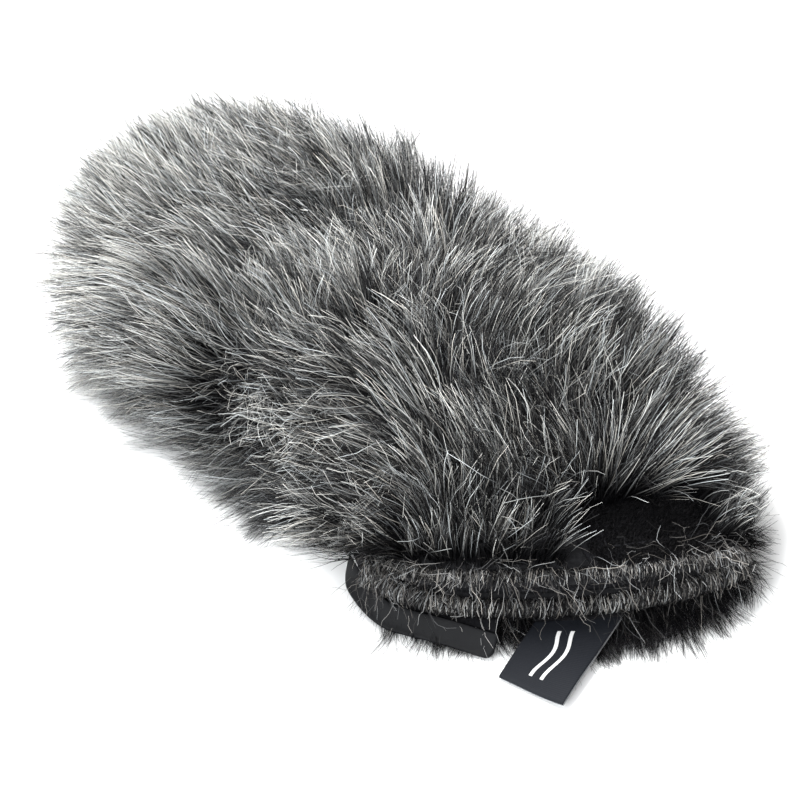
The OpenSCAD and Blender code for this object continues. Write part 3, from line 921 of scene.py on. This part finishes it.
def closureTab():
    at, along, out = foldLine("tab_fold")
    d = np.linspace(-tab["tuck"], tab["depth"], tab["rows"])
    w = np.linspace(-1, 1, tab["cols"])
    start = tab["depth"] - tab["round"]
    drawn = np.where(d > start, tab["round"] - np.sqrt(np.maximum(
        0, tab["round"] ** 2 - (d - start) ** 2)), 0)[:, None]
    x = w[None, :] * (np.where(w[None, :] < 0, tab["left"], tab["right"]) - drawn)
    past = np.maximum(0, -tab["turnFrom"] - x)
    rise = tab["rise"] * ramp(0, tab["riseOver"], past)
    fall = ramp(tab["slopeFrom"], tab["depth"], d)[:, None]
    forward = d[:, None] - tab["turn"] * past ** 2 + tab["forward"]
    mid = at * np.array([1, 1, 0]) + x[..., None] * along + forward[..., None] * out
    mid[..., 2] = (tab["high"] + rise - (tab["slope"] + tab["riseSlope"] * rise) * fall
                   + tab["ripple"] * np.sin(w * tab["ripples"])[None, :])
    rim = np.minimum((1 - np.abs(w))[None, :] * 30, (tab["depth"] - d)[:, None] / 0.5)
    edge = tab["thinEdge"] + (1 - tab["thinEdge"]) * np.clip(rim, 0, 1) ** 0.5
    half = (0.5 * tab["thick"] * edge)[..., None] * upward
    points, faces = closedSheet(mid + half, mid - half)
    uv = np.stack(np.broadcast_arrays(w[None, :] * 0.5 + 0.5,
                                      ((d + tab["tuck"]) / tab["weaveOver"])[:, None]), -1)
    piece = makePiece("closure_tape", points, faces[:, ::-1], finishes["satin"], "tab",
                      np.concatenate([uv, uv]), "tape")
    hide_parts("closure_tab")
    print("tape area", round(sheetArea(mid), 6))
    return piece


tape = closureTab()

labelCut = {"wide": 19, "length": 23.5, "twist": -35.64, "slope": 4, "ply": 0.45, "gap": 0.5,
            "tuck": 1.6, "ripple": 0.35, "rippleOver": 7.0, "curl": 0.012, "curlAlong": (4, 20),
            "floor": 0.3, "innerFloor": 0.45, "cols": 30, "run": 34, "foldRows": 7}


def wovenLabel():
    at, along, out = foldLine("label_flex")
    twist, slope = math.radians(labelCut["twist"]), math.radians(labelCut["slope"])
    wide, long, cols, run = (labelCut[key] for key in ("wide", "length", "cols", "run"))
    w = np.linspace(-0.5, 0.5, cols) * wide
    rootAt = (w * math.sin(twist) - labelCut["tuck"]) / math.cos(twist)
    middle = (labelCut["ply"] + labelCut["gap"]) / 2

    def ply(offset):
        # the folded ribbon's rows, at this distance from the middle of its thickness
        for t in np.linspace(0, 1, run):
            yield rootAt + (long - rootAt) * t, middle + offset
        for turn in np.radians(np.linspace(90, -90, labelCut["foldRows"] + 2)[1:-1]):
            yield (np.full(cols, long + (middle + offset) * math.cos(turn)),
                   (middle + offset) * math.sin(turn))
        for t in np.linspace(1, 0, run):
            yield rootAt + (long - rootAt) * t, -middle - offset

    def placedPly(offset, floor):
        grid = []
        for l, high in ply(offset):
            x = w * math.cos(twist) + l * math.sin(twist)
            y = l * math.cos(twist) - w * math.sin(twist)
            curl = labelCut["ripple"] * np.sin(l / labelCut["rippleOver"])
            curl = curl + (labelCut["curl"] * np.maximum(0, w) ** 2
                           * ramp(*labelCut["curlAlong"], l))
            z = high - math.tan(slope) * l + curl
            grid.append(at + x[:, None] * along + y[:, None] * out + z[:, None] * upward)
        grid = np.stack(grid)
        grid[..., 2] = np.maximum(grid[..., 2], floor)
        return grid

    half = labelCut["ply"] / 2
    outer = placedPly(half, labelCut["floor"])
    inner = placedPly(-half, labelCut["innerFloor"])
    points, faces = closedSheet(outer, inner)
    v = np.linspace(0, 1, len(outer))
    uv = np.stack(np.broadcast_arrays((w / wide + 0.5)[None, :], v[:, None]), -1)
    back = uv.copy()
    back[..., 1] = 0.9  # the ribbon's reverse shows the loose threads
    piece = makePiece("label_ribbon", points, faces, finishes["label"], "label",
                      np.concatenate([uv, back]), "ribbon")
    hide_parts("woven_label")
    print("label area", round(sheetArea((outer + inner) / 2), 6))
    return piece


ribbon = wovenLabel()

cadFinishes = {"left_side_seam": "thread", "right_side_seam": "thread", "nose_seam": "thread",
               "tab_stitches": "thread", "label_stitches": "thread",
               "loop_patch_stitches": "patchBase", "tab_anchor": "patchBase",
               "label_tail": "patchBase", "hook_strip": "hooks"}
for node, finish in cadFinishes.items():
    frame["nodes"][node].data.materials.clear()
    frame["nodes"][node].data.materials.append(finishes[finish])
print("tape, label and stitching finished")


def makeTable():
    mesh = bpy.data.meshes.new("table")
    far = tableLook["size"]
    mesh.from_pydata([(-far, -far, 0), (far, -far, 0), (far, far, 0), (-far, far, 0)],
                     [], [(0, 1, 2, 3)])
    mesh.materials.append(tableMaterial())
    putInScene("table", mesh)


# round soft lamps aimed at the middle of the table, in metres and watts
lamps = {"overhead": {"at": (0.0, 0.6, 1.1), "size": 0.6, "power": 34.0, "colour": (1, 1, 1)},
         "left fill": {"at": (-1.0, -0.2, 0.7), "size": 0.8, "power": 16.0,
                       "colour": (0.95, 0.98, 1)},
         "front fill": {"at": (0.2, -1.1, 0.8), "size": 0.8, "power": 4.0, "colour": (1, 1, 1)}}
roomLight = 0.5


def makeLights():
    for name, lamp in lamps.items():
        data = bpy.data.lights.new(name, "AREA")
        data.shape, data.size = "DISK", lamp["size"]
        data.energy, data.color = lamp["power"], lamp["colour"]
        putInScene(name, data, lamp["at"], (0, 0, 0))
    world = bpy.data.worlds.new("studio")
    world.use_nodes = True
    world.node_tree.nodes["Background"].inputs[0].default_value = (1, 1, 1, 1)
    world.node_tree.nodes["Background"].inputs[1].default_value = roomLight
    bpy.context.scene.world = world
    bpy.context.scene.view_settings.view_transform = "Standard"


makeTable()
makeLights()
print("table and lights placed")
